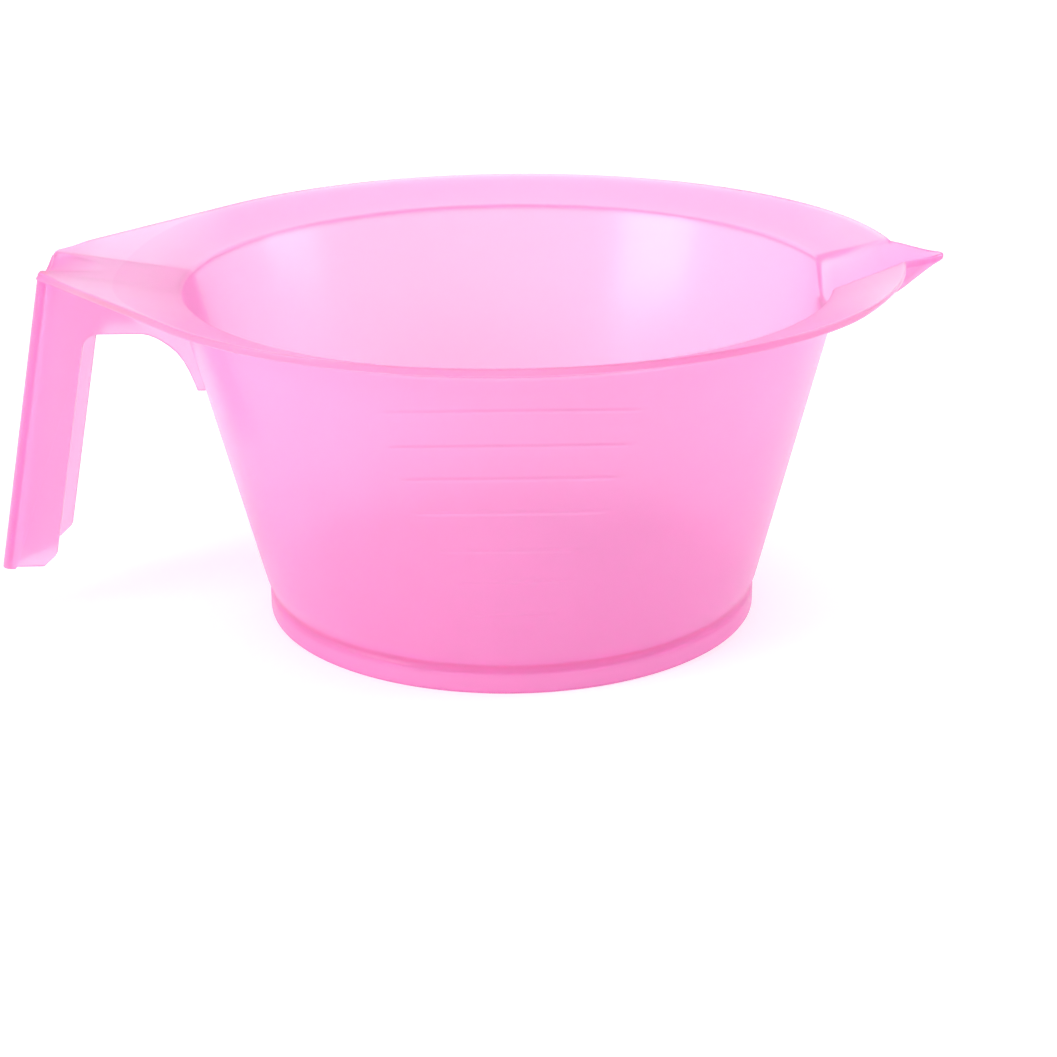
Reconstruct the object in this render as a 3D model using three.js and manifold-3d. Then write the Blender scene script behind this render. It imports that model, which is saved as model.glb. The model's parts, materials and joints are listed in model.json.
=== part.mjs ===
// Hair colour (tint) bowl: one thin-walled polypropylene moulding.
// Millimetres, +Z up. The origin is the middle of the bounding box on the
// standing surface. The spout points along +X and the hook handle along -X.
// The moulding is divided into its named regions, which meet face to face.
import * as THREE from 'three';
import { mergeVertices } from 'three/addons/utils/BufferGeometryUtils.js';
import Module from 'manifold-3d';

const wasm = await Module();
wasm.setup();

// ---------------------------------------------------------------- dimensions
const AXIS_X = 7.2;            // bowl axis, measured from the origin
const WALL = 1.25;             // general wall thickness
const FOOT_R = 41.9;           // outside radius of the upright foot band
const FOOT_H = 4.1;            // height of the foot band
const FOOT_SKIRT = 1.5;        // thickness of the foot band below the floor
const FLOOR_Z0 = 2.6;          // underside of the floor (recessed in the foot)
const FLOOR_Z1 = 4.0;          // inside face of the floor
const CONE_R0 = 41.71;         // outside cone radius at height CONE_Z0
const CONE_Z0 = 3.42;
const CONE_K = 0.25246;        // radius gained per millimetre of height
const MOUTH_R = 54.1;          // inside wall meets the lip's top face here
const MOUTH_Z = 57.1;
const RIM_R = 65.5;            // outer rim radius
const RIM_Z = 60.8;            // top of the rim, overall height
const LIP_T = 1.3;             // vertical thickness of the lip
const SPLIT_Z = 55.6;          // wall and lip meet on this level

const HANDLE_HALF = 7.84;      // half width of the hook handle
const HANDLE_X0 = -87.2;       // outer face of the spine at its lower end
const HANDLE_Z0 = 8.5;         // lower end of the spine
const HANDLE_LEAN = 0.1929;    // outer face moves inward per millimetre of height
const HANDLE_CORNER = 2.0;     // outside corner radius, seen from above
const SPINE_T = 1.53;          // spine thickness along X
const WEB_T = 1.35;            // web thickness along Y
const WEB_Z0 = 8.9;            // lower end of the webs
const THUMB_LEN = 10.2;        // thumb groove along X
const THUMB_DEPTH = 1.7;       // at the outer end
const THUMB_HALF = 6.6;        // half width at the outer end

const TIP_X = 72.8;            // spout tip
const SPOUT_BX = 65.05;        // corner where the rim turns into the spout
const SPOUT_BY = 7.6;
const SPOUT_AX = 53.1;         // inner end of the crease between lip and spout
const SPOUT_AY = 10.6;
const TIP_HALF = 0.9;          // half width of the rounded tip
const TIP_Z = 60.3;            // top of the tip

const LINE_W = 0.6;            // measuring lines: height of each rib
const LINE_PROUD = 0.28;       // how far a rib stands out of the wall
const LINE_Z = [50.6, 44.7, 39.1, 33.2, 26.4, 20.8, 14.7];
const LINE_HALF = [18.8, 17.8, 15.8, 13.6, 10.5, 8.4, 6.3];

// ------------------------------------------------------------------- helpers
const coneR = (z) => CONE_R0 + CONE_K * (z - CONE_Z0);
const handleX = (z) => HANDLE_X0 + HANDLE_LEAN * (z - HANDLE_Z0);
const lerp = (a, b, t) => a + (b - a) * t;
function table(rows, x) {      // piecewise linear look-up in [x, y] rows
  if (x <= rows[0][0]) return rows[0][1];
  for (let i = 1; i < rows.length; i++) {
    if (x <= rows[i][0]) {
      const [x0, y0] = rows[i - 1], [x1, y1] = rows[i];
      return y0 + (y1 - y0) * (x - x0) / (x1 - x0);
    }
  }
  return rows[rows.length - 1][1];
}

function toSolid(geometry) {
  const g = geometry.clone();
  g.deleteAttribute('normal');
  g.deleteAttribute('uv');
  const m = mergeVertices(g, 1e-5);
  return new wasm.Manifold(new wasm.Mesh({
    numProp: 3,
    vertProperties: new Float32Array(m.attributes.position.array),
    triVerts: new Uint32Array(m.index.array),
  }));
}
function rawSolid(vertices, triangles) {
  const g = new THREE.BufferGeometry();
  g.setAttribute('position', new THREE.Float32BufferAttribute(vertices.flat(), 3));
  g.setIndex(triangles.flat());
  return toSolid(g);
}
function toGeometry(solid) {
  const parts = solid.decompose();
  let best = parts[0];
  for (const p of parts) if (p.volume() > best.volume()) best = p;
  const mesh = best.getMesh();
  const g = new THREE.BufferGeometry();
  g.setAttribute('position', new THREE.BufferAttribute(new Float32Array(mesh.vertProperties), 3));
  g.setIndex(new THREE.BufferAttribute(new Uint32Array(mesh.triVerts), 1));
  const welded = mergeVertices(g, 2e-4), old = welded.index.array, keep = [];
  for (let i = 0; i < old.length; i += 3) {
    const [a, b, c] = [old[i], old[i + 1], old[i + 2]];
    if (a !== b && b !== c && c !== a) keep.push(a, b, c);
  }
  welded.setIndex(keep);
  welded.computeVertexNormals();
  return welded;
}
// closed solid from a ring of closed profiles; every profile has the same length
function loftRing(rings) {
  const n = rings.length, m = rings[0].length, v = [], t = [];
  for (const ring of rings) for (const p of ring) v.push(p);
  for (let i = 0; i < n; i++) {
    const a = i * m, b = ((i + 1) % n) * m;
    for (let j = 0; j < m; j++) {
      const k = (j + 1) % m;
      t.push([a + j, b + j, b + k], [a + j, b + k, a + k]);
    }
  }
  return rawSolid(v, t);
}
// prism on a plan outline between two heights
function planPrism(points, z0, z1) {
  const g = new THREE.ExtrudeGeometry(
    new THREE.Shape(points.map(([x, y]) => new THREE.Vector2(x, y))),
    { depth: z1 - z0, bevelEnabled: false });
  g.translate(0, 0, z0);
  return toSolid(g);
}
// prism on an outline in the XZ plane between two Y values
function sidePrism(points, y0, y1) {
  const g = new THREE.ExtrudeGeometry(
    new THREE.Shape(points.map(([x, z]) => new THREE.Vector2(x, z))),
    { depth: y1 - y0, bevelEnabled: false });
  g.rotateX(Math.PI / 2);
  g.translate(0, y1, 0);
  return toSolid(g);
}
function revolve(profile, segments) {
  const g = new THREE.LatheGeometry(profile.map(([r, z]) => new THREE.Vector2(r, z)), segments);
  g.rotateX(Math.PI / 2);
  return toSolid(g);
}

// -------------------------------------------------------------- plan outline
// Points of the rim seen from above, from the +X side round to the -X side.
const cornerX = handleX(RIM_Z - LIP_T) - 0.03;
const cornerDist = Math.hypot(cornerX, HANDLE_HALF);
const cornerAng = Math.atan2(HANDLE_HALF, cornerX);
const tangentAng = cornerAng - Math.acos(RIM_R / cornerDist);
const TAN = [RIM_R * Math.cos(tangentAng), RIM_R * Math.sin(tangentAng)];
const half = [[RIM_R, 0]];
for (const deg of [2.2, 4.4]) half.push([RIM_R * Math.cos(deg * Math.PI / 180), RIM_R * Math.sin(deg * Math.PI / 180)]);
const aB = Math.atan2(SPOUT_BY, SPOUT_BX);
for (let i = 0, n = 29; i <= n; i++) {
  const a = i === 0 ? aB : lerp(9 * Math.PI / 180, tangentAng, (i - 1) / (n - 1));
  half.push([RIM_R * Math.cos(a), RIM_R * Math.sin(a)]);
}
// straight side of the handle plate, then its rounded corner
const sideDir = [cornerX - TAN[0], HANDLE_HALF - TAN[1]];
const sideLen = Math.hypot(...sideDir);
const ux = sideDir[0] / sideLen, uy = sideDir[1] / sideLen;
const turn = Math.acos(-uy) ;                      // from the side to the end face
const cut = HANDLE_CORNER * Math.tan(turn / 2);
for (const s of [0.12, 0.24, 0.36, 0.48, 0.6, 0.7, 0.8, 0.89]) half.push([TAN[0] + ux * sideLen * s, TAN[1] + uy * sideLen * s]);
const cs = [cornerX - ux * cut, HANDLE_HALF - uy * cut];
const ce = [cornerX, HANDLE_HALF - cut];
const cc = [cornerX + HANDLE_CORNER, HANDLE_HALF - cut];
for (let i = 0; i <= 3; i++) {
  const a = lerp(Math.atan2(cs[1] - cc[1], cs[0] - cc[0]), Math.PI, i / 3);
  half.push([cc[0] + HANDLE_CORNER * Math.cos(a), cc[1] + HANDLE_CORNER * Math.sin(a)]);
}
for (const y of [5.2, 3.5, 1.8]) if (y < ce[1] - 0.4) half.push([cornerX, y]);
half.push([cornerX, 0]);
const outline = [...half, ...half.slice(1, -1).reverse().map(([x, y]) => [x, -y])];

// ------------------------------------------------------------- bowl surfaces
function thumb(x, y) {         // depth of the thumb groove below the plate
  const s = (-x - (-cornerX - THUMB_LEN)) / THUMB_LEN;
  if (s <= 0) return 0;
  const w = THUMB_HALF * Math.sqrt(Math.min(1, s));
  return THUMB_DEPTH * Math.min(1, s) * Math.max(0, 1 - (y / w) ** 2);
}
const RULE = [0.1, 0.5, 0.68, 0.82, 0.92, 1];   // stations across the lip
const innerR = (z) => coneR(z) - WALL;
// each closed profile below is given in (radius, height), going outwards along
// the underside and back along the top
const FOOT_PROFILE = [[38.9, FLOOR_Z0], [FOOT_R - FOOT_SKIRT, FLOOR_Z0], [FOOT_R - FOOT_SKIRT, 0],
  [FOOT_R - 0.25, 0], [FOOT_R, 0.3], [FOOT_R, FOOT_H - 0.25], [coneR(FOOT_H), FOOT_H + 0.05],
  [innerR(4.2) - 1.3, FLOOR_Z1 + 0.25], [38.9, FLOOR_Z1]];
const WALL_PROFILE = [[innerR(4.2) - 1.3, FLOOR_Z1 + 0.25], [coneR(FOOT_H), FOOT_H + 0.05],
  [coneR(28), 28], [coneR(SPLIT_Z), SPLIT_Z], [innerR(SPLIT_Z), SPLIT_Z], [innerR(28), 28],
  [innerR(6.6), 6.6], [innerR(5.2) - 0.35, 5.0]];
function turned(profile) {     // the profile carried round the bowl axis
  return loftRing(outline.map(([x, y]) => {
    const q = Math.hypot(x, y);
    return profile.map(([r, z]) => [r * x / q, r * y / q, z]);
  }));
}
function lipSurface(px, py) {  // underside and top of the lip along one ray
  const rOut = Math.hypot(px, py), c = px / rOut, s = py / rOut;
  const topZ = (r) => lerp(MOUTH_Z, RIM_Z, (r - MOUTH_R) / (rOut - MOUTH_R)) - thumb(r * c, r * s);
  const low = [[coneR(SPLIT_Z), SPLIT_Z], [coneR(LIP_Z), LIP_Z]], high = [];
  for (const t of RULE.slice(1)) { const r = lerp(MOUTH_R, rOut, t); low.push([r, topZ(r) - LIP_T]); }
  for (const t of [...RULE].reverse()) { const r = lerp(MOUTH_R, rOut, t); high.push([r, topZ(r)]); }
  high.push([MOUTH_R + 0.05, MOUTH_Z - 0.2], [innerR(SPLIT_Z), SPLIT_Z]);
  const xyz = ([r, z]) => [r * c, r * s, z];
  return { low: low.map(xyz), high: high.map(xyz) };
}
const LIP_Z = 56.09;           // the lip's underside leaves the wall here
const wallSolid = turned(WALL_PROFILE);
const footRing = turned(FOOT_PROFILE);
const lipSolid = loftRing(outline.map(([x, y]) => { const q = lipSurface(x, y); return [...q.low, ...q.high]; }));
const floorDisc = (() => {     // disc that fills the foot ring
  const n = outline.length, v = [], t = [];
  for (const z of [FLOOR_Z0, FLOOR_Z1]) for (const [x, y] of outline) { const q = Math.hypot(x, y); v.push([38.9 * x / q, 38.9 * y / q, z]); }
  v.push([0, 0, FLOOR_Z0], [0, 0, FLOOR_Z1]);
  for (let i = 0; i < n; i++) {
    const k = (i + 1) % n;
    t.push([2 * n, k, i], [2 * n + 1, n + i, n + k], [i, k, n + k], [i, n + k, n + i]);
  }
  return rawSolid(v, t);
})();
// block that fills everything inside the outer face and above the underside of
// the lip and plate: the handle is trimmed to it
const trim = (() => {
  const rings = outline.map(([px, py]) => {
    const q = lipSurface(px, py).low, e = q[q.length - 1], R = Math.hypot(px, py);
    return [[coneR(20) * px / R, coneR(20) * py / R, 20], ...q.slice(1), [e[0] * (1 + 1.5 / R), e[1] * (1 + 1.5 / R), e[2]], [e[0] * (1 + 1.5 / R), e[1] * (1 + 1.5 / R), 75]];
  });
  const n = rings.length, m = rings[0].length, v = rings.flat(), t = [];
  v.push([0, 0, 20], [0, 0, 75]);
  for (let i = 0; i < n; i++) {
    const a = i * m, b = ((i + 1) % n) * m;
    for (let j = 0; j < m - 1; j++) t.push([a + j, b + j, b + j + 1], [a + j, b + j + 1, a + j + 1]);
    t.push([n * m, b, a], [n * m + 1, a + m - 1, b + m - 1]);
  }
  return rawSolid(v, t);
})();

// --------------------------------------------------------------------- spout
const FLOOR_LINE = [[40, 51.2], [52.2, 51.4], [56.4, 51.9], [59.6, 52.75], [62.7, 54.05], [65.9, 56.1], [69.0, 58.4], [71.0, 59.8], [TIP_X, TIP_Z]];
const KEEL_LINE = [[40, 49.0], [53.6, 49.3], [56.4, 49.8], [59.6, 50.75], [62.7, 51.95], [65.9, 53.95], [69.0, 56.5], [71.4, 58.5], [TIP_X, 59.35]];
const creaseK = (SPOUT_AY - SPOUT_BY) / (SPOUT_BX - SPOUT_AX);
function spoutHalf(x) {
  if (x <= SPOUT_BX) return SPOUT_BY + (SPOUT_BX - x) * creaseK;
  return table([[SPOUT_BX, SPOUT_BY], [TIP_X - 0.9, 1.35], [TIP_X - 0.3, 0.9], [TIP_X, 0.45]], x);
}
function spoutEdge(x) {
  if (x >= SPOUT_BX) return lerp(RIM_Z, TIP_Z, (x - SPOUT_BX) / (TIP_X - SPOUT_BX));
  const r = Math.hypot(x, spoutHalf(x));
  return lerp(MOUTH_Z, RIM_Z, (r - MOUTH_R) / (RIM_R - MOUTH_R));
}
const vee = (s) => Math.abs(s) ** 1.35;
const spoutFloor = (x, s) => lerp(Math.min(table(FLOOR_LINE, x), spoutEdge(x)), spoutEdge(x), vee(s));
const spoutKeel = (x, s) => Math.min(lerp(table(KEEL_LINE, x), spoutEdge(x) - LIP_T, vee(s)), spoutFloor(x, s) - 0.7);
const ACROSS = [-1, -0.85, -0.68, -0.5, -0.32, -0.15, 0, 0.15, 0.32, 0.5, 0.68, 0.85, 1];
function heightBlock(xs, low, high) {
  const v = [], t = [], m = ACROSS.length;
  for (const x of xs) for (const s of ACROSS) v.push([x, s * spoutHalf(x), low(x, s)]);
  const o = v.length;
  for (const x of xs) for (const s of ACROSS) v.push([x, s * spoutHalf(x), high(x, s)]);
  for (let i = 0; i < xs.length - 1; i++) for (let j = 0; j < m - 1; j++) {
    const a = i * m + j, b = a + m;
    t.push([a, a + 1, b + 1], [a, b + 1, b]);
    t.push([o + a, o + b, o + b + 1], [o + a, o + b + 1, o + a + 1]);
  }
  const side = (p, q) => t.push([p, q, o + q], [p, o + q, o + p]);
  for (let i = 0; i < xs.length - 1; i++) {
    side(i * m, (i + 1) * m);
    side((i + 1) * m + m - 1, i * m + m - 1);
  }
  for (let j = 0; j < m - 1; j++) { side(j + 1, j); side((xs.length - 1) * m + j, (xs.length - 1) * m + j + 1); }
  return rawSolid(v, t);
}
const SPOUT_XS = [46, 50, 52.3, 54.6, 56.4, 58, 59.6, 61.2, 62.7, 64, SPOUT_BX, 66.3, 67.6, 69, 70.2, 71.2, TIP_X - 0.9, TIP_X - 0.3, TIP_X];
const spoutBlock = heightBlock(SPOUT_XS, spoutKeel, spoutFloor);
const channel = heightBlock(SPOUT_XS, spoutFloor, () => 70);
const column = heightBlock(SPOUT_XS, spoutKeel, () => 70);
// what the spout stays out of: the wall, and the open mouth above it
const mouthBlock = (() => {
  const prof = [[coneR(20), 20], [coneR(SPLIT_Z), SPLIT_Z], [innerR(SPLIT_Z), SPLIT_Z], [MOUTH_R + 0.05, MOUTH_Z - 0.2], [MOUTH_R + 0.05, 75]];
  const n = outline.length, m = prof.length, v = [], t = [];
  for (const [x, y] of outline) { const q = Math.hypot(x, y); for (const [r, z] of prof) v.push([r * x / q, r * y / q, z]); }
  v.push([0, 0, 20], [0, 0, 75]);
  for (let i = 0; i < n; i++) {
    const a = i * m, b = ((i + 1) % n) * m;
    for (let j = 0; j < m - 1; j++) t.push([a + j, b + j, b + j + 1], [a + j, b + j + 1, a + j + 1]);
    t.push([n * m, b, a], [n * m + 1, a + m - 1, b + m - 1]);
  }
  return rawSolid(v, t);
})();
const spout = spoutBlock.subtract(mouthBlock);
const wall = wallSolid.subtract(channel);

// ------------------------------------------- handle plate, cut from the flange
const big = 120, PLATE_R = 58;
const arc = [];
for (let i = 0; i <= 40; i++) {
  const a = lerp(-Math.acos(-0.86), -Math.PI * 2 + Math.acos(-0.86), i / 40);
  arc.push([PLATE_R * Math.cos(a), PLATE_R * Math.sin(a)]);
}
const plateX = arc[0][0];
const plateZone = planPrism([[plateX, -big], ...arc, [plateX, big], [-big, big], [-big, -big]], 50, 80);
const plate = lipSolid.intersect(plateZone);
const lip = lipSolid.subtract(plateZone).subtract(column);

// -------------------------------------------------------------------- handle
// spine: a C section with rounded outside corners, sheared to the handle's lean
function spineSection() {
  const p = [], r = HANDLE_CORNER, h = HANDLE_HALF;
  for (let i = 0; i <= 4; i++) { const a = lerp(Math.PI / 2, Math.PI, i / 4); p.push([r + r * Math.cos(a), h - r + r * Math.sin(a)]); }
  for (let i = 0; i <= 4; i++) { const a = lerp(Math.PI, 1.5 * Math.PI, i / 4); p.push([r + r * Math.cos(a), -h + r + r * Math.sin(a)]); }
  p.push([r, -h + WEB_T], [SPINE_T, -h + WEB_T + 0.45], [SPINE_T, h - WEB_T - 0.45], [r, h - WEB_T]);
  return p;
}
const LEVELS = [[HANDLE_Z0, 1], [WEB_Z0 - 0.06, 1], [WEB_Z0, 0], [30, 0], [62, 0]];
const spine = (() => {
  const base = spineSection(), n = base.length, v = [], t = [];
  for (const [z, bead] of LEVELS) base.forEach(([x, y], i) => {
    const inner = i >= n - 4;                      // the lower end is thicker
    v.push([handleX(z) + (bead && inner ? 2.65 : x), y, z]);
  });
  const faces = THREE.ShapeUtils.triangulateShape(base.map(([x, y]) => new THREE.Vector2(x, y)), []);
  const o = (LEVELS.length - 1) * n;
  const flip = THREE.ShapeUtils.area(base.map(([x, y]) => new THREE.Vector2(x, y))) < 0;
  for (let l = 0; l < LEVELS.length - 1; l++) for (let i = 0; i < n; i++) {
    const k = (i + 1) % n, a = l * n;
    const q = [[a + i, a + k, a + n + k], [a + i, a + n + k, a + n + i]];
    t.push(...(flip ? q.map((f) => [f[0], f[2], f[1]]) : q));
  }
  for (const f of faces) {
    const g = f;
    const ccw = flip ? [g[0], g[1], g[2]] : [g[0], g[1], g[2]];
    t.push([ccw[0], ccw[2], ccw[1]], [o + ccw[0], o + ccw[1], o + ccw[2]]);
  }
  return rawSolid(v, t).subtract(trim);
})();

const underCut = [];           // lower outline of a web, from the spine inwards
underCut.push([-79.85, WEB_Z0], [-79.3, 9.05], [-77.5, 11.05], [-77.35, 11.6]);
underCut.push([-70.6, 47.2], [-70.15, 48.5], [-68.75, 49.55], [-67.5, 49.95]);
underCut.push([-61.15, 49.95], [-59.4, 49.7], [-57.35, 48.7], [-54.75, 46.5], [-53.1, 43.5], [-51.95, 40.6], [-51.8, 40.1], [-49.9, 40.1], [-49.9, 68]);
const butt = (z) => handleX(z) + HANDLE_CORNER;
const webOutline = [[butt(68), 68], [butt(WEB_Z0), WEB_Z0], ...underCut];
const webFront = sidePrism(webOutline, -HANDLE_HALF, -HANDLE_HALF + WEB_T).subtract(trim);
const webBack = sidePrism(webOutline, HANDLE_HALF - WEB_T, HANDLE_HALF).subtract(trim);

// ----------------------------------------------------------- measuring lines
// Thin ribs on the front of the wall. Their ends hang a little lower than the
// middle, so that each looks straight from the user's side.
function measuringLine(z, halfX) {
  const R = coneR(z), a1 = Math.asin(halfX / R), n = 10, rings = [];
  for (let i = 0; i <= n; i++) {
    const a = lerp(-a1, a1, i / n), drop = 1.15 * (R * (1 - Math.cos(a))) / 3.2;
    const zc = z - drop, edge = i === 0 || i === n ? 0.4 : 1, w = LINE_W * edge / 2;
    const p = (r, q) => [r * Math.sin(a), -r * Math.cos(a), q];
    rings.push([p(coneR(zc - w) - 0.5, zc - w), p(coneR(zc - w) + 0.02, zc - w), p(coneR(zc) + LINE_PROUD * edge, zc - w * 0.4),
      p(coneR(zc) + LINE_PROUD * edge, zc + w * 0.4), p(coneR(zc + w) + 0.02, zc + w), p(coneR(zc + w) - 0.5, zc + w)]);
  }
  const m = 6, v = rings.flat(), t = [];
  for (let i = 0; i < n; i++) for (let j = 0; j < m; j++) {
    const k = (j + 1) % m, a = i * m, b = a + m;
    t.push([a + j, b + j, b + k], [a + j, b + k, a + k]);
  }
  for (let j = 1; j < m - 1; j++) t.push([0, j, j + 1], [n * m, n * m + j + 1, n * m + j]);
  return rawSolid(v, t);
}

// --------------------------------------------------------------------- parts
const group = new THREE.Group();
group.name = 'hair_color_bowl';
function node(name, solid, color, roughness) {
  const material = new THREE.MeshStandardMaterial({ color, roughness, metalness: 0, transparent: true, opacity: 0.85 });
  const mesh = new THREE.Mesh(toGeometry(solid), material);
  mesh.name = name;
  mesh.position.x = AXIS_X;
  group.add(mesh);
}
node('bowl_wall', wall, 0xf793cf, 0.32);
node('bowl_floor', floorDisc, 0xf58acb, 0.34);
node('foot_ring', footRing, 0xf483c8, 0.34);
node('rim_lip', lip, 0xf7a0d6, 0.3);
node('pouring_spout', spout, 0xf58ecd, 0.3);
node('handle_top_plate', plate, 0xf79fd5, 0.3);
node('handle_spine', spine, 0xf27fc4, 0.32);
node('handle_web_front', webFront, 0xf58fce, 0.32);
node('handle_web_back', webBack, 0xf58fce, 0.32);
LINE_Z.forEach((z, i) => node(`measure_line_${i + 1}`, measuringLine(z, LINE_HALF[i]).subtract(wall), 0xf18ac9, 0.34));

export default group;
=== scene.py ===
# Hair colour bowl: one translucent polypropylene moulding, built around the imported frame.
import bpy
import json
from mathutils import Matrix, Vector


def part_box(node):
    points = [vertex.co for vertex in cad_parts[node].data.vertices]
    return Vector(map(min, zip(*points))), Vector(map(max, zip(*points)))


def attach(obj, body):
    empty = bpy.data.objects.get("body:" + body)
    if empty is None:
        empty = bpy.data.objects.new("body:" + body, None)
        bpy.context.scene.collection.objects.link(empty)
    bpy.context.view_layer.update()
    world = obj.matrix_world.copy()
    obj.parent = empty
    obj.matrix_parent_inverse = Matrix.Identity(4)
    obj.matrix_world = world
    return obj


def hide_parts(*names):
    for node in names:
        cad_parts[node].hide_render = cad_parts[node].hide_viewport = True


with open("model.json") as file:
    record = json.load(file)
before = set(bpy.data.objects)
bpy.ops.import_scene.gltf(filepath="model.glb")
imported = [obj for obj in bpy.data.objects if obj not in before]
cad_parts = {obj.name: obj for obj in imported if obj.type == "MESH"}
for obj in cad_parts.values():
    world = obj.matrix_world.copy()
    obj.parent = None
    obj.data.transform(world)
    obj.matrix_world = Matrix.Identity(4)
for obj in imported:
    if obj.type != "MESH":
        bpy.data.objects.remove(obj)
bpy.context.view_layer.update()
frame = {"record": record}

import json
import math
import bpy
import bmesh
import numpy as np
from mathutils import Matrix, Vector

# ------------------------------------------------------------------ dimensions, mm
# X is measured from the bowl's axis here; AXIS_X moves everything into the frame.
AXIS_X = (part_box("foot_ring")[0][0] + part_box("foot_ring")[1][0]) * 500.0
CONE_R0, CONE_Z0, CONE_K = 41.71, 3.42, 0.25246
WALL, LIP_T = 1.25, 1.3
FOOT_R, FOOT_IN = 41.9, 40.4
FLOOR_Z0, FLOOR_Z1 = 2.6, 4.0
MOUTH_R, MOUTH_Z = 54.1, 57.1
RIM_R, RIM_Z = 65.5, 60.8
TIP_X, SPOUT_BX, SPOUT_BY, SPOUT_AX, SPOUT_AY, TIP_Z = 72.8, 65.05, 7.6, 53.1, 10.6, 60.3
HANDLE_X0, HANDLE_Z0, LEAN, HALF = -87.2, 8.5, 0.1929, 7.84
CORNER = 2.0
LINE_Z = (50.6, 44.7, 39.1, 33.2, 26.4, 20.8, 14.7)
LINE_HALF = (18.8, 17.8, 15.8, 13.6, 10.5, 8.4, 6.3)


def cone_r(z):
    return CONE_R0 + CONE_K * (z - CONE_Z0)


def handle_x(z):
    return HANDLE_X0 + LEAN * (z - HANDLE_Z0)


END_X = handle_x(RIM_Z - LIP_T) - 0.03


def smin(a, b, k):
    h = np.clip(0.5 + 0.5 * (b - a) / k, 0, 1)
    return b * (1 - h) + a * h - k * h * (1 - h)


def smooth_table(rows, passes=6):
    xs = np.linspace(rows[0][0], rows[-1][0], 400)
    ys = np.interp(xs, [r[0] for r in rows], [r[1] for r in rows])
    for _ in range(passes):
        pad = np.concatenate([[2 * ys[0] - ys[i] for i in range(9, 0, -1)], ys, [2 * ys[-1] - ys[-1 - i] for i in range(1, 10)]])
        ys = np.convolve(pad, np.ones(19) / 19, "valid")
    return xs, ys


FLOOR_T = smooth_table([[36, 51.0], [50, 51.15], [54, 51.45], [57, 52.0], [60, 52.95], [63, 54.3], [66, 56.3], [69, 58.5], [71, 59.75], [74, 60.9]], 3)
KEEL_T = smooth_table([[36, 48.9], [50, 49.1], [54, 49.35], [57, 49.95], [60, 50.9], [63, 52.2], [66, 54.1], [69, 56.6], [71.4, 58.45], [74, 60.2]], 3)


# ------------------------------------------------------------------ plan outline
def fillet(p0, p1, p2, r, n):
    """Points of an arc of radius r that rounds the corner p1."""
    a, b = np.array(p0, float) - p1, np.array(p2, float) - p1
    a, b = a / np.linalg.norm(a), b / np.linalg.norm(b)
    half = math.acos(np.clip(a @ b, -1, 1)) / 2
    d = r / math.tan(half)
    c = np.array(p1) + (a + b) / np.linalg.norm(a + b) * r / math.sin(half)
    s, e = np.array(p1) + a * d - c, np.array(p1) + b * d - c
    a0, a1 = math.atan2(s[1], s[0]), math.atan2(e[1], e[0])
    da = (a1 - a0 + math.pi) % (2 * math.pi) - math.pi
    return [c + r * np.array([math.cos(a0 + da * i / n), math.sin(a0 + da * i / n)]) for i in range(n + 1)]


def spread(points, step):
    """Evenly spaced points on a polyline, its corners kept where they turn."""
    out = [np.array(points[0], float)]
    for a, b in zip(points[:-1], points[1:]):
        a, b = np.array(a, float), np.array(b, float)
        n = max(1, int(math.ceil(np.linalg.norm(b - a) / step)))
        out += [a + (b - a) * i / n for i in range(1, n + 1)]
    return out


def plan_outline():
    corner = (END_X, HALF)
    dist, ang = math.hypot(*corner), math.atan2(HALF, END_X)
    tan = ang - math.acos(RIM_R / dist)
    T = (RIM_R * math.cos(tan), RIM_R * math.sin(tan))
    aB = math.atan2(SPOUT_BY, SPOUT_BX)
    pts = []
    tip = fillet((SPOUT_BX, -SPOUT_BY), (TIP_X + 0.53, 0.0), (SPOUT_BX, SPOUT_BY), 1.25, 10)
    tip = [p for p in tip if p[1] >= -1e-9]
    after = (RIM_R * math.cos(aB + 0.06), RIM_R * math.sin(aB + 0.06))
    bend = fillet(tip[-1], (SPOUT_BX, SPOUT_BY), after, 1.4, 6)
    pts += spread([tip[0]] + list(tip[1:]), 0.35)
    pts += spread([pts[-1], bend[0]], 0.55)[1:]
    pts += [np.array(p) for p in bend[1:]]
    a = math.atan2(pts[-1][1], pts[-1][0])
    n = 122
    ease = lambda t: t + 0.10 * math.sin(2 * math.pi * t) * -0.5
    pts += [np.array([RIM_R * math.cos(a + (tan - a) * ease(i / n)), RIM_R * math.sin(a + (tan - a) * ease(i / n))]) for i in range(1, n + 1)]
    rnd = fillet(T, corner, (END_X, 0.0), CORNER, 8)
    pts += spread([T, rnd[0]], 1.5)[1:]
    pts += [np.array(p) for p in rnd[1:]]
    pts += spread([rnd[-1], (END_X, 0.0)], 0.6)[1:]
    up = np.array(pts)
    up[0, 1] = 0.0
    low = up[1:-1][::-1] * np.array([1, -1])
    return np.vstack([up, low])


PLAN = plan_outline()
TH = np.arctan2(PLAN[:, 1], PLAN[:, 0])
ROUT = np.hypot(PLAN[:, 0], PLAN[:, 1])
COS, SIN = np.cos(TH), np.sin(TH)
RLIP = np.where(np.abs(TH) < 0.2, np.minimum(ROUT, RIM_R), ROUT)


# ------------------------------------------------------------------ surfaces
def thumb(x, y):
    """Depth of the shallow thumb groove that runs out towards the bowl."""
    s = np.clip((END_X + 10.4 - x) / 10.4, 0, 1)
    w = 6.5 * np.sqrt(np.maximum(s, 1e-4))
    q = 1 - (y / w) ** 2
    return 1.75 * s * 0.5 * (q + np.sqrt(q * q + 0.012)) * np.clip(s * 4, 0, 1)


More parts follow.
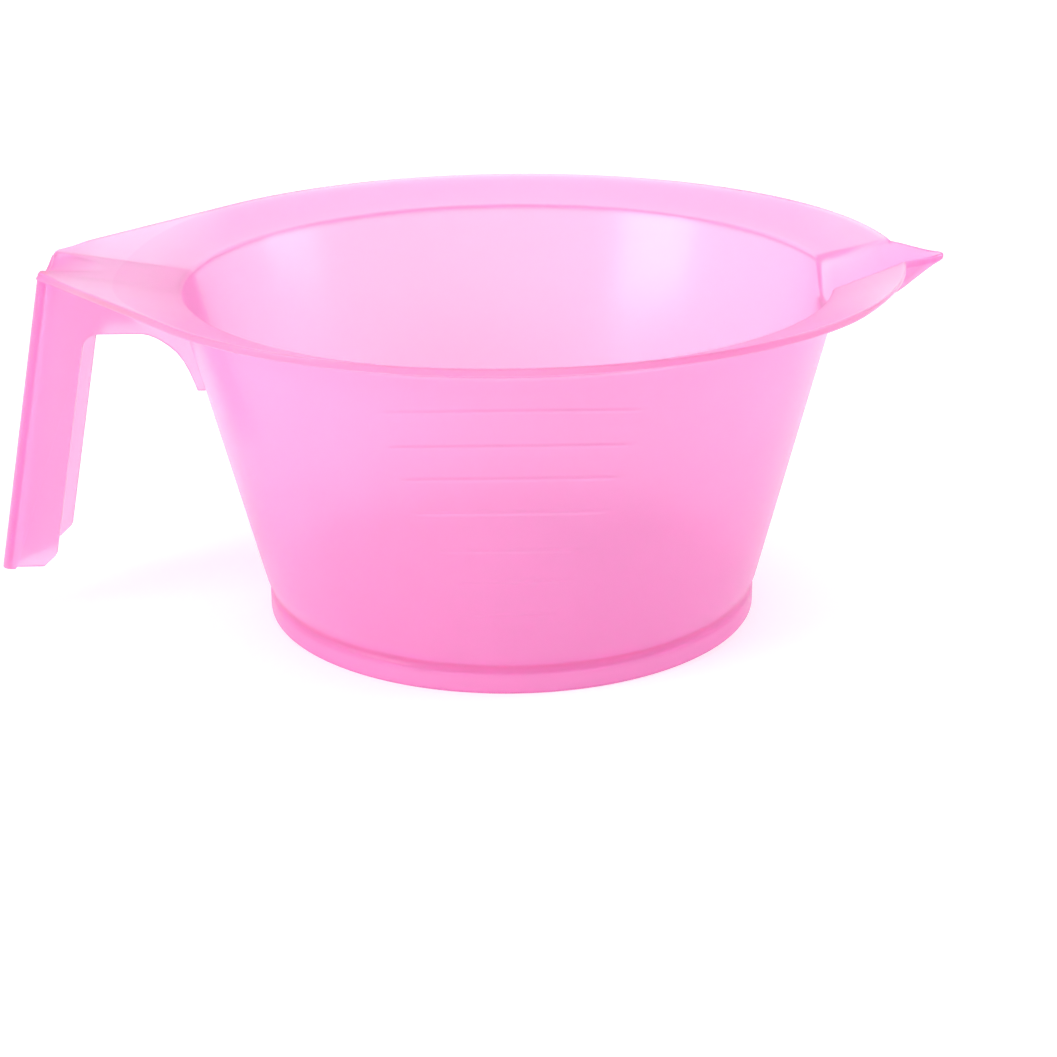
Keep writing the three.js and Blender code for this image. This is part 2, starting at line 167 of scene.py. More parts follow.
def spout_half(x):
    k = (SPOUT_AY - SPOUT_BY) / (SPOUT_BX - SPOUT_AX)
    inner = SPOUT_BY + (SPOUT_BX - x) * k
    outer = np.interp(x, [SPOUT_BX, TIP_X - 1.0, TIP_X + 0.4], [SPOUT_BY, 1.5, 0.9])
    return np.where(x <= SPOUT_BX, inner, outer)


def lip_flat(r, rlip):
    t = (r - MOUTH_R) / (rlip - MOUTH_R)
    return MOUTH_Z + (RIM_Z - MOUTH_Z) * np.minimum(t, 1.0)


def spout_edge(x):
    w = spout_half(x)
    inner = lip_flat(np.hypot(x, w), RIM_R)
    outer = RIM_Z + (TIP_Z - RIM_Z) * (x - SPOUT_BX) / (TIP_X - SPOUT_BX)
    return np.where(x <= SPOUT_BX, inner, outer)


def vee(s, round_off=0.16):
    s = np.abs(s)
    v = np.sqrt(s * s + round_off**2) - round_off
    v1 = math.sqrt(1 + round_off**2) - round_off
    return 0.62 * (v / v1) + 0.38 * s**2


def channel_z(x, y):
    base = np.interp(x, *FLOOR_T)
    edge = spout_edge(x)
    return base + np.maximum(edge - base, 0.15) * vee(y / spout_half(x))


def keel_z(x, y):
    base = np.interp(x, *KEEL_T)
    edge = spout_edge(x) - LIP_T
    return base + np.maximum(edge - base, 0.05) * vee(y / spout_half(x), 0.22)


def top_z(r, c, s, rlip):
    x, y = r * c, r * s
    z = lip_flat(r, rlip) - thumb(x, y)
    near = (x > 30) & (np.abs(y) < 24)
    return np.where(near, smin(z, channel_z(np.maximum(x, 36), y), 0.55), z)


def low_z(r, c, s, rlip):
    x, y = r * c, r * s
    z = lip_flat(r, rlip) - thumb(x, y) - LIP_T
    thin = np.clip((x - 51) / 9, 0, 1) * np.clip((r - 56) / 7, 0, 1)    # the lip thins beside the spout
    z = z + 0.5 * thin * thin * (3 - 2 * thin)
    near = (x > 30) & (np.abs(y) < 24)
    k = np.where(near, smin(z, keel_z(np.maximum(x, 36), y), 0.9), z)
    return np.minimum(k, top_z(r, c, s, rlip) - 0.62)


def crossing(surface, wall_in):
    """Radius where the cone, moved in by wall_in, meets a surface along each ray."""
    lo, hi = np.full_like(ROUT, 51.0), np.full_like(ROUT, 57.5)
    f = lambda r: surface(r, COS, SIN, RLIP) - (CONE_Z0 + (r + wall_in - CONE_R0) / CONE_K)
    for _ in range(50):
        mid = (lo + hi) / 2
        pos = f(mid) > 0
        lo, hi = np.where(pos, mid, lo), np.where(pos, hi, mid)
    return (lo + hi) / 2


def corner_arc(P, d1, d2, radius, n):
    """Rounds the corner P of every profile: directions d1 in, d2 out. (n+1, columns, 2)"""
    cosang = np.clip((d1 * d2).sum(1), -1, 1)
    half = np.arccos(cosang) / 2
    L = radius / np.tan(half)
    bis = d1 + d2
    bis /= np.linalg.norm(bis, axis=1)[:, None]
    C = P + bis * (radius / np.sin(half))[:, None]
    s, e = P + d1 * L[:, None] - C, P + d2 * L[:, None] - C
    a0, a1 = np.arctan2(s[:, 1], s[:, 0]), np.arctan2(e[:, 1], e[:, 0])
    da = (a1 - a0 + np.pi) % (2 * np.pi) - np.pi
    rows = []
    for i in range(n + 1):
        a = a0 + da * i / n
        rows.append(C + radius[:, None] * np.stack([np.cos(a), np.sin(a)], 1))
    return rows, L


def body_rows():
    """Profiles round the axis: a list of rows, each (columns, 2) of radius and height."""
    n, rows = len(TH), []
    flat = lambda r, z: rows.append(np.stack([np.full(n, float(r)), np.full(n, float(z))], 1))
    # recessed underside of the floor, and the foot ring
    for r in (1.2, 6, 13, 20, 27, 33, 37.5, 39.3):
        flat(r, FLOOR_Z0)
    for a in (30, 60, 90):
        flat(FOOT_IN - 0.8 + 0.8 * math.sin(math.radians(a)), FLOOR_Z0 - 0.8 + 0.8 * math.cos(math.radians(a)))
    flat(FOOT_IN, 1.0)
    for a in (0, 45, 90):
        flat(FOOT_IN + 0.3 - 0.3 * math.cos(math.radians(a)), 0.3 - 0.3 * math.sin(math.radians(a)))
    flat(41.1, 0.0)
    for a in (0, 22, 45, 67, 90):
        flat(FOOT_R - 0.45 + 0.45 * math.sin(math.radians(a)), 0.45 - 0.45 * math.cos(math.radians(a)))
    for r, z in ((FOOT_R, 1.2), (FOOT_R, 2.2), (FOOT_R, 3.1), (41.88, 3.5), (41.8, 3.8), (41.7, 4.05), (41.66, 4.35), (41.7, 4.75), (41.86, 5.4)):
        flat(r, z)
    # outside wall, with the raised measuring lines on the -Y side
    ro = crossing(low_z, 0.0)
    zo = CONE_Z0 + (ro - CONE_R0) / CONE_K
    ends = np.full(n, 0.0) + zo
    eps = 0.6
    d_low = np.stack([np.full(n, eps), low_z(ro + 1.2 + eps, COS, SIN, RLIP) - low_z(ro + 1.2, COS, SIN, RLIP)], 1)
    d_low /= np.linalg.norm(d_low, axis=1)[:, None]
    d_wall = np.tile(np.array([[-CONE_K, -1.0]]) / math.hypot(1, CONE_K), (n, 1))
    anchor = np.stack([ro + 1.2, low_z(ro + 1.2, COS, SIN, RLIP)], 1)
    # corner of the wall's line and the underside's tangent
    t = ((anchor[:, 0] - ro) - CONE_K * (anchor[:, 1] - zo)) / (d_low[:, 0] - CONE_K * d_low[:, 1])
    Q = anchor - d_low * t[:, None]
    arc_o, L_o = corner_arc(Q, d_wall, d_low, np.full(n, 1.3), 6)
    z_top = arc_o[0][:, 1]
    heights = [(6.6, 0, 0)]
    prof = ((-0.62, 0.0), (-0.42, 0.04), (-0.28, 0.36), (-0.12, 0.86), (0.0, 1.0), (0.12, 0.86), (0.28, 0.36), (0.42, 0.04), (0.62, 0.0))
    for z, h in sorted(zip(LINE_Z, LINE_HALF)):
        last = heights[-1][0]
        gap = (z - 0.62) - last
        for i in range(1, max(1, int(gap / 2.4)) + 1):
            if i < max(1, int(gap / 2.4)) + 0 or gap > 2.4:
                zz = last + gap * i / (max(1, int(gap / 2.4)) + 1)
                heights.append((zz, 0, 0))
        for dz, k in prof:
            heights.append((z + dz, k, h))
    R_mid = cone_r(np.array([hh[0] for hh in heights]))
    front = np.clip(-SIN, 0, 1)
    az = np.where(SIN < 0, np.arctan2(COS, -SIN), math.pi)           # 0 at -Y
    for (z, k, h), R in zip(heights, R_mid):
        fade = np.clip((z - 6.6) / 5.0, 0, 1) * np.clip((z_top - z) / 3.0, 0, 1)
        reach = np.minimum(np.abs(az), math.radians(26))
        sag = 0.36 * R * (1 - np.cos(reach)) * fade
        zz = z - sag
        rr = cone_r(zz)
        if k:
            x = R * np.sin(az)
            edge = np.clip((h - np.abs(x)) / 0.8 + 0.5, 0, 1)
            edge = edge * edge * (3 - 2 * edge)
            rr = rr + 0.12 * k * np.where(SIN < 0, edge, 0)
        rows.append(np.stack([rr, zz], 1))
    last = rows[-1]
    for t in (0.3, 0.6, 0.85):
        zz = last[:, 1] * (1 - t) + z_top * t
        rows.append(np.stack([cone_r(zz), zz], 1))
    rows += arc_o
    # underside of the lip, plate and spout
    flush = np.clip((-PLAN[:, 0] - 72.0) / 4.0, 0, 1)
    flush = flush * flush * (3 - 2 * flush)
    nose = np.clip((PLAN[:, 0] - 67.0) / 4.0, 0, 1)
    edge_r = 0.3 + 0.32 * flush + 0.3 * nose
    r_start = arc_o[-1][:, 0]
    K = 22
    r_edge = ROUT
    z_hi, z_lo = top_z(ROUT - 0.02, COS, SIN, RLIP), low_z(ROUT - 0.02, COS, SIN, RLIP)
    rad = np.minimum(edge_r, (z_hi - z_lo) * 0.46)
    rad_low = rad * (1 - flush) + 0.02
    for i in range(1, K + 1):
        t = i / K
        r = r_start + (r_edge - rad_low - r_start) * t
        zf = low_z(r, COS, SIN, RLIP)
        if i < 4:                                             # leave the rounding smoothly
            lin = arc_o[-1][:, 1] + (r - r_start) * d_low[:, 1] / d_low[:, 0]
            w = i / 4
            zf = zf * w + lin * (1 - w)
        rows.append(np.stack([r, zf], 1))
    # the rim's edge: two rounded corners and the upright between them
    r_high = r_edge - 0.4 * flush                             # the handle's end leans in at the top
    zl, zh = low_z(r_edge - rad_low, COS, SIN, RLIP), top_z(r_high - rad, COS, SIN, RLIP)
    sl = (zl - low_z(r_edge - rad_low - 0.4, COS, SIN, RLIP)) / 0.4
    sh = (zh - top_z(r_high - rad - 0.4, COS, SIN, RLIP)) / 0.4
    for a in (22, 45, 68, 90):
        q = math.radians(a)
        rows.append(np.stack([r_edge - rad_low + rad_low * math.sin(q), zl + rad_low * (1 - math.cos(q)) + sl * rad_low * math.sin(q) * (1 - a / 120)], 1))
    for a in (90, 68, 45, 22):
        q = math.radians(a)
        rows.append(np.stack([r_high - rad + rad * math.sin(q), np.minimum(zh - rad * (1 - math.cos(q)) + sh * rad * math.sin(q) * (1 - a / 120), RIM_Z)], 1))
    # top of the lip, going inwards to the mouth
    ri = crossing(top_z, WALL)
    zi = CONE_Z0 + (ri + WALL - CONE_R0) / CONE_K
    spouty = np.clip((math.radians(19) - np.abs(TH)) / math.radians(5), 0, 1)
    step = 1.3 - 0.2 * spouty
    anchor = np.stack([ri + step, top_z(ri + step, COS, SIN, RLIP)], 1)
    d_top = np.stack([np.full(n, eps), top_z(ri + step + eps, COS, SIN, RLIP) - anchor[:, 1]], 1)
    d_top /= np.linalg.norm(d_top, axis=1)[:, None]
    t = ((anchor[:, 0] - ri) - CONE_K * (anchor[:, 1] - zi)) / (d_top[:, 0] - CONE_K * d_top[:, 1])
    P = anchor - d_top * t[:, None]
    radius = 0.9 - 0.2 * spouty
    arc_i, L_i = corner_arc(P, d_wall, d_top, radius, 9)
    r_in = arc_i[-1][:, 0]
    K = 40
    top = []
    for i in range(0, K):
        t = i / K
        t = t * 0.55 + 0.45 * t * t * (3 - 2 * t)
        r = r_in + (r_high - rad - r_in) * t
        zf = top_z(r, COS, SIN, RLIP)
        w = min(1.0, i / 5)
        lin = arc_i[-1][:, 1] + (r - r_in) * d_top[:, 1] / d_top[:, 0]
        top.append(np.stack([r, zf * w + lin * (1 - w)], 1))
    rows.append(np.stack([r_high - rad, zh], 1))
    rows += top[::-1][: -1]
    rows += arc_i[::-1]
    # inside wall, rounded into the floor
    z_start = arc_i[0][:, 1]
    radius_f, slope = 3.6, math.atan(CONE_K)
    turn = math.pi / 2 - slope
    base_r = cone_r(FLOOR_Z1) - WALL
    L = radius_f * math.tan(turn / 2)
    z_end = FLOOR_Z1 + L * math.cos(slope)
    for i in range(1, 15):
        zz = z_start + (z_end - z_start) * i / 15
        r = cone_r(zz) - WALL
        # shallow sink lines where the handle's webs join the wall behind
        sink = 0.09 * np.exp(-(((np.abs(r * SIN) - 7.15) / 0.7) ** 2)) * np.clip((zz - 40) / 3, 0, 1) * (COS < 0)
        rows.append(np.stack([r + sink, zz], 1))
    cx, cz = base_r - L, FLOOR_Z1 + radius_f
    for i in range(0, 9):
        q = -slope - (math.pi / 2 - slope) * i / 8
        rows.append(np.stack([np.full(n, cx + radius_f * math.cos(q)), np.full(n, cz + radius_f * math.sin(q))], 1))
    for r in (33, 27, 20, 13, 6, 1.2):
        flat(r, FLOOR_Z1)
    return rows


def grid_mesh(name, rows):
    m, n = len(rows), len(TH)
    R = np.array(rows)                                            # (m, n, 2)
    xyz = np.stack([R[..., 0] * COS, R[..., 0] * SIN, R[..., 1]], -1).reshape(-1, 3)
    xyz = np.vstack([xyz, [[0, 0, rows[0][0, 1]], [0, 0, rows[-1][0, 1]]]])
    a = np.arange(m - 1)[:, None] * n + np.arange(n)[None, :]
    b = np.arange(m - 1)[:, None] * n + (np.arange(n)[None, :] + 1) % n
    quads = np.stack([a, b, b + n, a + n], -1).reshape(-1, 4)
    faces = quads.tolist()
    c0, c1 = m * n, m * n + 1
    for i in range(n):
        k = (i + 1) % n
        faces.append([c0, k, i])
        faces.append([c1, (m - 1) * n + i, (m - 1) * n + k])
    me = bpy.data.meshes.new(name)
    me.from_pydata(((xyz + [AXIS_X, 0, 0]) / 1000.0).tolist(), [], faces)
    me.validate()
    me.update()
    ob = bpy.data.objects.new(name, me)
    bpy.context.scene.collection.objects.link(ob)
    return ob


ROWS = body_rows()
bowl = grid_mesh("bowl_moulding", ROWS)


# ------------------------------------------------------------------ handle
def prism(name, loops, caps):
    """Closed solid through a stack of loops (lists of xyz in mm)."""
    n = len(loops[0])
    verts = [tuple(p) for loop in loops for p in loop]
    faces = []
    for l in range(len(loops) - 1):
        for i in range(n):
            k = (i + 1) % n
            faces.append([l * n + i, l * n + k, (l + 1) * n + k, (l + 1) * n + i])
    faces.append(list(range(n))[::-1])
    faces.append(list(range((len(loops) - 1) * n, len(loops) * n)))
    me = bpy.data.meshes.new(name)
    me.from_pydata([((x + AXIS_X) / 1000.0, y / 1000.0, z / 1000.0) for x, y, z in verts], [], faces)
    bm = bmesh.new()
    bm.from_mesh(me)
    bmesh.ops.recalc_face_normals(bm, faces=bm.faces)
    bm.to_mesh(me)
    bm.free()
    ob = bpy.data.objects.new(name, me)
    bpy.context.scene.collection.objects.link(ob)
    return ob


def boolean(a, b, how):
    mod = a.modifiers.new("cut", "BOOLEAN")
    mod.operation, mod.solver, mod.object = how, "EXACT", b
    dg = bpy.context.evaluated_depsgraph_get()
    me = bpy.data.meshes.new_from_object(a.evaluated_get(dg), depsgraph=dg)
    a.modifiers.clear()
    old = a.data
    a.data = me
    bpy.data.meshes.remove(old)
    bpy.data.objects.remove(b)
    return a


def u_section(inset=0.0):
    """The handle's channel seen from above, its open side towards the bowl."""
    r, h, t, s = CORNER, HALF, 1.35, 1.53
    p = []
    for i in range(9):
        a = math.pi / 2 + math.pi / 2 * i / 8
        p.append((r + r * math.cos(a), h - r + r * math.sin(a)))
    for i in range(9):
        a = math.pi + math.pi / 2 * i / 8
        p.append((r + r * math.cos(a), -h + r + r * math.sin(a)))
    far = 40.0
    p += [(far, -h), (far, -h + t)]
    q = 1.5
    for i in range(6):
        a = -math.pi / 2 - math.pi / 2 * i / 5
        p.append((s + q + q * math.cos(a), -h + t + q + q * math.sin(a)))
    for i in range(6):
        a = math.pi - math.pi / 2 * i / 5
        p.append((s + q + q * math.cos(a), h - t - q + q * math.sin(a)))
    p += [(far, h - t), (far, h)]
    return p


sec = u_section()
handle = prism("handle_raw", [[(handle_x(z) + x, y, z) for x, y in sec] for z in (5.0, 64.0)], True)


def arch_outline():
    """Side view of the handle, from the spine's foot round the arch to the wall."""
    out = [(handle_x(8.5) - 3, 8.5), (-84.75, 8.5)]
    out += [tuple(p) for p in fillet((-84.75, 8.5), (-84.35, 8.92), (-80.5, 8.92), 0.25, 3)]
    out += [tuple(p) for p in fillet((-84.0, 8.92), (-79.75, 8.95), (-77.6, 10.9), 0.7, 4)]
    out += [tuple(p) for p in fillet((-79.5, 9.2), (-77.55, 11.0), (-76.9, 14.0), 0.8, 5)]
    out += [tuple(p) for p in fillet((-77.2, 12.5), (-70.15, 49.95), (-61.0, 49.95), 3.1, 10)]
    curve = [(-61.15, 49.95), (-60.2, 49.9), (-59.4, 49.72), (-58.4, 49.3), (-57.35, 48.7), (-56.2, 47.85), (-54.95, 46.7), (-53.9, 45.2), (-53.1, 43.55), (-52.5, 42.0), (-52.05, 40.75)]
    out += curve
    out += [tuple(p) for p in fillet((-52.3, 41.5), (-51.85, 40.05), (-50.5, 40.05), 0.3, 3)]
    out += [(-49.85, 40.05), (-50.82, 44.0), (-53.36, 54.0), (-54.0, 56.5), (-54.2, 70.0), (handle_x(70) - 3, 70.0)]
    return out


arch = arch_outline()
side = prism("handle_side", [[(x, y, z) for x, z in arch] for y in (-9.0, 9.0)], True)
boolean(handle, side, "INTERSECT")

# the handle stops halfway into the plate and into the wall
xs = np.concatenate([[-92.0], np.linspace(-79.0, -50.0, 70), [-40.0]])
ys = np.linspace(-9.0, 9.0, 49)
gx, gy = np.meshgrid(xs, ys, indexing="ij")
gr = np.hypot(gx, gy)
gth = np.arctan2(gy, gx)
order = np.argsort(TH)
rl = np.interp(np.mod(gth, 2 * np.pi), np.sort(np.mod(TH, 2 * np.pi)), RLIP[np.argsort(np.mod(TH, 2 * np.pi))])
gz = MOUTH_Z + (RIM_Z - MOUTH_Z) * np.clip((gr - MOUTH_R) / (rl - MOUTH_R), 0, 1) - thumb(np.maximum(gx, END_X), gy) - 0.62
nx, ny = gx.shape
v = [(x, y, z) for x, y, z in zip(gx.ravel(), gy.ravel(), gz.ravel())]
v += [(x, y, 0.0) for x, y in zip(gx.ravel(), gy.ravel())]
o = nx * ny
f = []
for i in range(nx - 1):
    for j in range(ny - 1):
        a = i * ny + j
        f.append([a, a + ny, a + ny + 1, a + 1])
        f.append([o + a, o + a + 1, o + a + ny + 1, o + a + ny])
for i in range(nx - 1):
    f.append([i * ny, o + i * ny, o + (i + 1) * ny, (i + 1) * ny])
    a, b = i * ny + ny - 1, (i + 1) * ny + ny - 1
    f.append([a, b, o + b, o + a])
for j in range(ny - 1):
    f.append([j, j + 1, o + j + 1, o + j])
    a, b = (nx - 1) * ny + j, (nx - 1) * ny + j + 1
    f.append([a, o + a, o + b, b])
me = bpy.data.meshes.new("under")
me.from_pydata([((x + AXIS_X) / 1000.0, y / 1000.0, z / 1000.0) for x, y, z in v], [], f)
bm = bmesh.new(); bm.from_mesh(me); bmesh.ops.recalc_face_normals(bm, faces=bm.faces); bm.to_mesh(me); bm.free()
under = bpy.data.objects.new("under", me)
bpy.context.scene.collection.objects.link(under)
boolean(handle, under, "INTERSECT")

# soften the moulded edges of the handle
bm = bmesh.new()
bm.from_mesh(handle.data)
bmesh.ops.remove_doubles(bm, verts=bm.verts, dist=2e-6)
bmesh.ops.dissolve_degenerate(bm, edges=bm.edges, dist=1e-6)
sharp = [e for e in bm.edges if len(e.link_faces) == 2 and e.calc_face_angle(0) > math.radians(50)
         and max(v_.co.z for v_ in e.verts) < 0.0555]
bmesh.ops.bevel(bm, geom=sharp, offset=0.00022, segments=2, profile=0.5, affect="EDGES", clamp_overlap=True)
bm.to_mesh(handle.data)
bm.free()
boolean(bowl, handle, "UNION")
bm = bmesh.new()
bm.from_mesh(bowl.data)
bmesh.ops.remove_doubles(bm, verts=bm.verts, dist=5e-7)
bmesh.ops.dissolve_degenerate(bm, edges=bm.edges, dist=5e-7)
bm.to_mesh(bowl.data)
open_edges = sum(1 for e in bm.edges if len(e.link_faces) != 2)
print("moulding:", len(bm.verts), "verts", len(bm.faces), "faces", open_edges, "open edges", "volume cm3", round(bm.calc_volume() * 1e6, 2))
bm.free()
bowl.data.shade_smooth()
bowl.data.set_sharp_from_angle(angle=math.radians(38))
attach(bowl, "root")
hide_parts(*[n["node"] for n in frame["record"]["subparts"]])


# ------------------------------------------------------------------ material
def mix_shader(nt, fac, a, b):
    m = nt.nodes.new("ShaderNodeMixShader")
    if isinstance(fac, float):
        m.inputs[0].default_value = fac
    else:
        nt.links.new(fac, m.inputs[0])
    nt.links.new(a, m.inputs[1])
    nt.links.new(b, m.inputs[2])
    return m.outputs[0]


def noise(nt, vector, scale, detail=2.0, rough=0.5):
    n = nt.nodes.new("ShaderNodeTexNoise")
    n.inputs["Scale"].default_value = scale
    n.inputs["Detail"].default_value = detail
    n.inputs["Roughness"].default_value = rough
    nt.links.new(vector, n.inputs["Vector"])
    return n.outputs["Fac"]


def remap(nt, value, f0, f1, t0, t1):
    r = nt.nodes.new("ShaderNodeMapRange")
    for k, x in zip(("From Min", "From Max", "To Min", "To Max"), (f0, f1, t0, t1)):
        r.inputs[k].default_value = x
    nt.links.new(value, r.inputs["Value"])
    return r.outputs["Result"]


def math_node(nt, how, a, b=0.0):
    n = nt.nodes.new("ShaderNodeMath")
    n.operation = how
    for k, v in enumerate((a, b)):
        if isinstance(v, (int, float)):
            n.inputs[k].default_value = v
        else:
            nt.links.new(v, n.inputs[k])
    return n.outputs[0]


def ramp(nt, fac, c0, c1):
    t = nt.nodes.new("ShaderNodeMix")
    t.data_type = "RGBA"
    t.inputs["A"].default_value = (*c0, 1)
    t.inputs["B"].default_value = (*c1, 1)
    nt.links.new(fac, t.inputs["Factor"])
    return t.outputs["Result"]


def plastic():
    m = bpy.data.materials.new("translucent_pink_polypropylene")
    m.use_nodes = True
    nt = m.node_tree
    nt.nodes.clear()
    out = nt.nodes.new("ShaderNodeOutputMaterial")
    tc = nt.nodes.new("ShaderNodeTexCoord")
    pos = tc.outputs["Object"]
    # slow, faint unevenness of the tint, as pigment flows in a moulding
    flow = noise(nt, pos, 26.0, 3.0)
    fine = noise(nt, pos, 900.0, 4.0, 0.6)
    bump = nt.nodes.new("ShaderNodeBump")
    bump.inputs["Strength"].default_value = 0.04
    bump.inputs["Distance"].default_value = 0.0001
    nt.links.new(fine, bump.inputs["Height"])

    clear = nt.nodes.new("ShaderNodeBsdfPrincipled")
    clear.inputs["Transmission Weight"].default_value = 1.0
    clear.inputs["IOR"].default_value = 1.45
    # painted shade and highlight: the tint is mixed deeper in the lip, the spout, the handle's end and towards the
    # foot, and lighter at the rim's outer edge, over the handle's plate and beside the spout on the near (-Y) side
    sep = nt.nodes.new("ShaderNodeSeparateXYZ")
    nt.links.new(pos, sep.inputs[0])
    dx = math_node(nt, "SUBTRACT", sep.outputs["X"], AXIS_X / 1000.0)
    rad2 = math_node(nt, "ADD", math_node(nt, "MULTIPLY", dx, dx), math_node(nt, "MULTIPLY", sep.outputs["Y"], sep.outputs["Y"]))
    rad = math_node(nt, "SQRT", rad2)
    lip = remap(nt, sep.outputs["Z"], 0.0562, 0.0580, 0.0, 1.0)
    share = math_node(nt, "MINIMUM", remap(nt, rad, 0.0642, 0.0653, 1.0, -2.4), remap(nt, dx, -0.062, -0.050, -1.6, 1.0))
    beside = math_node(nt, "MULTIPLY", remap(nt, dx, 0.050, 0.058, 0.0, 1.8), remap(nt, sep.outputs["Y"], -0.004, 0.004, 1.0, 0.0))
    share = math_node(nt, "MINIMUM", share, math_node(nt, "SUBTRACT", 1.0, beside))
    share = math_node(nt, "ADD", share, remap(nt, dx, -0.0690, -0.0750, 0.0, 3.0))
    lip = math_node(nt, "MULTIPLY", lip, share)
    side = math_node(nt, "ABSOLUTE", sep.outputs["Y"])
    spout = math_node(nt, "MULTIPLY", remap(nt, dx, 0.0535, 0.0555, 0.0, 1.0), remap(nt, side, 0.0070, 0.0100, 1.0, 0.0))
    lip = math_node(nt, "MULTIPLY", lip, math_node(nt, "SUBTRACT", 1.0, spout))
    spout = math_node(nt, "MULTIPLY", spout, remap(nt, dx, 0.0580, 0.0680, 1.6, 3.0))
    spout = math_node(nt, "MULTIPLY", spout, remap(nt, dx, 0.0705, 0.0725, 1.0, 0.2))
    foot = math_node(nt, "ADD", remap(nt, sep.outputs["Z"], 0.0, 0.044, 0.85, 0.0), remap(nt, sep.outputs["Z"], 0.0, 0.006, 1.5, 0.0))
    foot = math_node(nt, "MULTIPLY", foot, remap(nt, rad, 0.0560, 0.0600, 1.0, 0.0))
    # painted shade where positive, painted highlight where negative
    painted_shade_and_highlight = math_node(nt, "ADD", math_node(nt, "ADD", lip, spout), foot)

    # mixes the flowing base tint towards the painted shade colour by the painted shade and highlight mask; a
    # negative mask lightens it past the base tint as painted highlight
    def tint(c0, c1, shade_colour):
        t = nt.nodes.new("ShaderNodeMix")
        t.data_type, t.clamp_factor, t.clamp_result = "RGBA", False, True
        nt.links.new(painted_shade_and_highlight, t.inputs["Factor"])
        nt.links.new(ramp(nt, flow, c0, c1), t.inputs["A"])
        t.inputs["B"].default_value = (*shade_colour, 1)
        return t.outputs["Result"]

    nt.links.new(tint(CLEAR_A, CLEAR_B, CLEAR_PAINTED_SHADE), clear.inputs["Base Color"])
    nt.links.new(remap(nt, fine, 0.3, 0.7, ROUGH - 0.02, ROUGH + 0.03), clear.inputs["Roughness"])
    nt.links.new(bump.outputs["Normal"], clear.inputs["Normal"])

    milk = nt.nodes.new("ShaderNodeBsdfPrincipled")
    milk.inputs["IOR"].default_value = 1.45
    nt.links.new(tint(MILK_A, MILK_B, MILK_PAINTED_SHADE), milk.inputs["Base Color"])
    nt.links.new(remap(nt, fine, 0.3, 0.7, 0.28, 0.36), milk.inputs["Roughness"])
    nt.links.new(bump.outputs["Normal"], milk.inputs["Normal"])
    through = nt.nodes.new("ShaderNodeBsdfTranslucent")
    nt.links.new(tint(MILK_A, MILK_B, MILK_PAINTED_SHADE), through.inputs["Color"])
    body = mix_shader(nt, 0.5, milk.outputs[0], through.outputs[0])
    cloud = remap(nt, flow, 0.3, 0.7, MILKY - 0.02, MILKY + 0.02)
    nt.links.new(mix_shader(nt, cloud, clear.outputs[0], body), out.inputs["Surface"])
    vol = nt.nodes.new("ShaderNodeVolumeAbsorption")
    vol.inputs["Color"].default_value = ABSORB
    vol.inputs["Density"].default_value = DENSITY
    nt.links.new(vol.outputs[0], out.inputs["Volume"])
    return m


CLEAR_A, CLEAR_B = (1.0, 0.903, 0.945), (1.0, 0.928, 0.953)
MILK_A, MILK_B = (1.0, 0.577, 0.853), (1.0, 0.627, 0.869)
# colours of the painted shade: the deeper tints that the painted shade and highlight mask mixes towards
CLEAR_PAINTED_SHADE, MILK_PAINTED_SHADE = (1.0, 0.853, 0.925), (1.0, 0.53, 0.83)
ROUGH, MILKY = 0.22, 0.38
ABSORB, DENSITY = (0.99, 0.0, 0.77, 1.0), 205.0
pp = plastic()
bowl.data.materials.clear()
bowl.data.materials.append(pp)

# ------------------------------------------------------------------ floor, light, camera
me = bpy.data.meshes.new("floor")
me.from_pydata([(-6, -6, 0), (6, -6, 0), (6, 6, 0), (-6, 6, 0)], [], [(0, 1, 2, 3)])
floor = bpy.data.objects.new("floor", me)
bpy.context.scene.collection.objects.link(floor)
fm = bpy.data.materials.new("pale_floor")
fm.use_nodes = True
fb = fm.node_tree.nodes["Principled BSDF"]
fb.inputs["Base Color"].default_value = (0.74, 0.74, 0.74, 1)
fb.inputs["Roughness"].default_value = 0.9
fb.inputs["Emission Color"].default_value = (1, 1, 1, 1)
fb.inputs["Emission Strength"].default_value = 0.33
me.materials.append(fm)

world = bpy.data.worlds.new("studio")
world.use_nodes = True
world.node_tree.nodes["Background"].inputs["Color"].default_value = (1, 1, 1, 1)
world.node_tree.nodes["Background"].inputs["Strength"].default_value = 1.0
bpy.context.scene.world = world


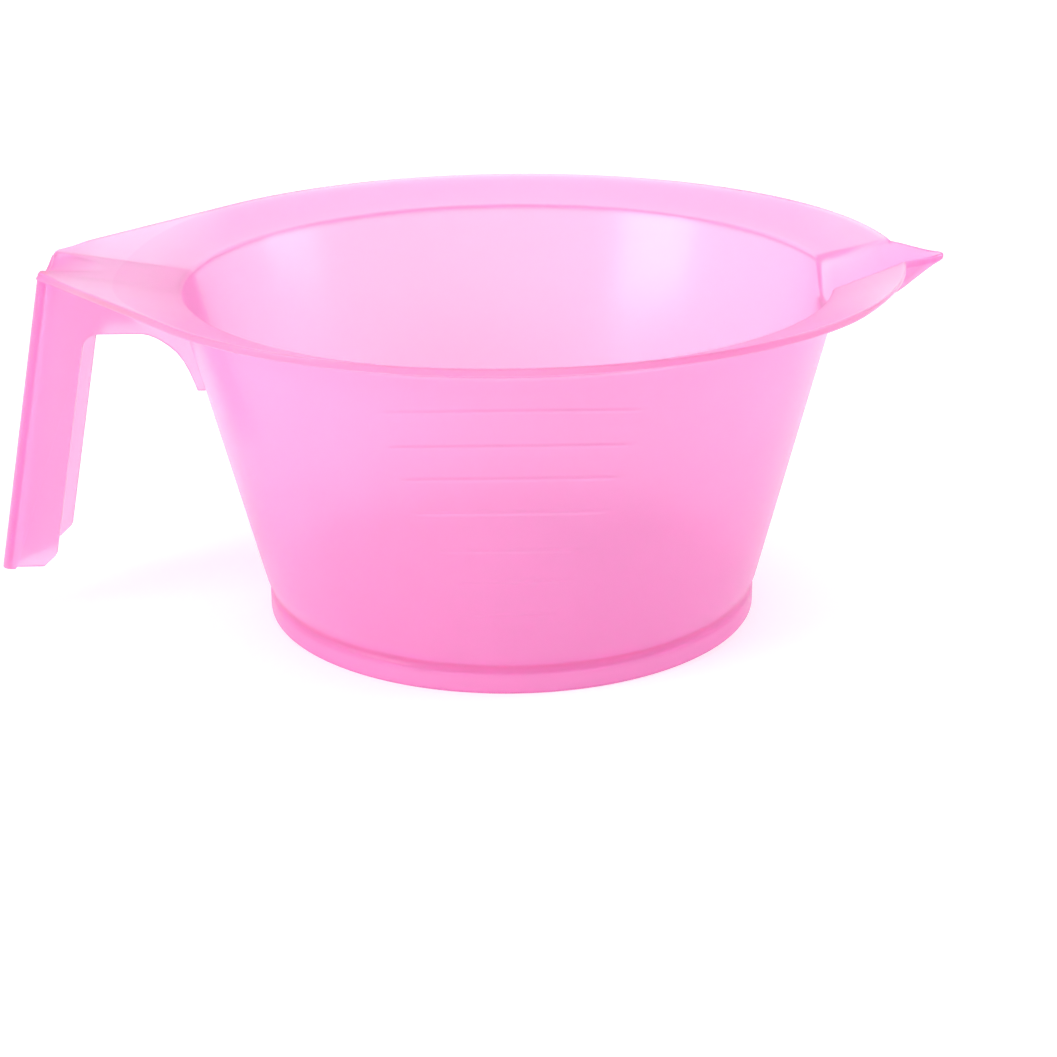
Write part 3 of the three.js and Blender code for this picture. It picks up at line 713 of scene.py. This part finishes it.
def area(name, loc, target, size, power, size_y=None):
    d = bpy.data.lights.new(name, "AREA")
    d.energy = power
    d.shape = "RECTANGLE" if size_y else "SQUARE"
    d.size = size
    if size_y:
        d.size_y = size_y
    ob = bpy.data.objects.new(name, d)
    ob.location = loc
    ob.rotation_euler = (Vector(target) - Vector(loc)).to_track_quat("-Z", "Y").to_euler()
    ob.visible_camera = False
    bpy.context.scene.collection.objects.link(ob)
    return ob


area("soft_left", (-0.66, -0.36, 0.28), (0.0, 0, 0.05), 0.42, 4.0, 0.42)
area("soft_right", (0.77, 0.03, 0.30), (0.0, 0, 0.05), 0.36, 2.1, 0.42)
area("soft_top", (0.0, 0.25, 1.0), (0, 0, 0.0), 0.9, 1.3)

U = 1.045
EL, DIST, FPX, CX, CY, ROLL = math.radians(18.28), 361.6, 2210.5, 509.67, 421.87, math.radians(-0.69)
back = np.array([0.0, -math.cos(EL), math.sin(EL)])
C = np.array([0, 0, 30.0]) + DIST * back
fwd = -back
right = np.cross(fwd, [0, 0, 1]); right /= np.linalg.norm(right)
up = np.cross(right, fwd)
r2 = math.cos(ROLL) * right + math.sin(ROLL) * up
u2 = -math.sin(ROLL) * right + math.cos(ROLL) * up
cam = bpy.data.cameras.new("camera")
cam.sensor_width = 36.0
cam.lens = FPX / 1057.0 * 36.0
cam.shift_x = 0.5 - CX / 1057.0
cam.shift_y = CY / 1057.0 - 0.5
cam.clip_start, cam.clip_end = 0.01, 50
co = bpy.data.objects.new("camera", cam)
M = Matrix(((r2[0], u2[0], -fwd[0], 0), (r2[1], u2[1], -fwd[1], 0), (r2[2], u2[2], -fwd[2], 0), (0, 0, 0, 1)))
M.translation = Vector(((C[0] * U + AXIS_X) / 1000.0, C[1] * U / 1000.0, C[2] * U / 1000.0))
co.matrix_world = M
bpy.context.scene.collection.objects.link(co)
bpy.context.scene.camera = co
bpy.context.scene.view_settings.view_transform = "Standard"
cy = bpy.context.scene.cycles
cy.max_bounces, cy.transmission_bounces, cy.diffuse_bounces, cy.glossy_bounces, cy.transparent_max_bounces = 20, 20, 10, 10, 20
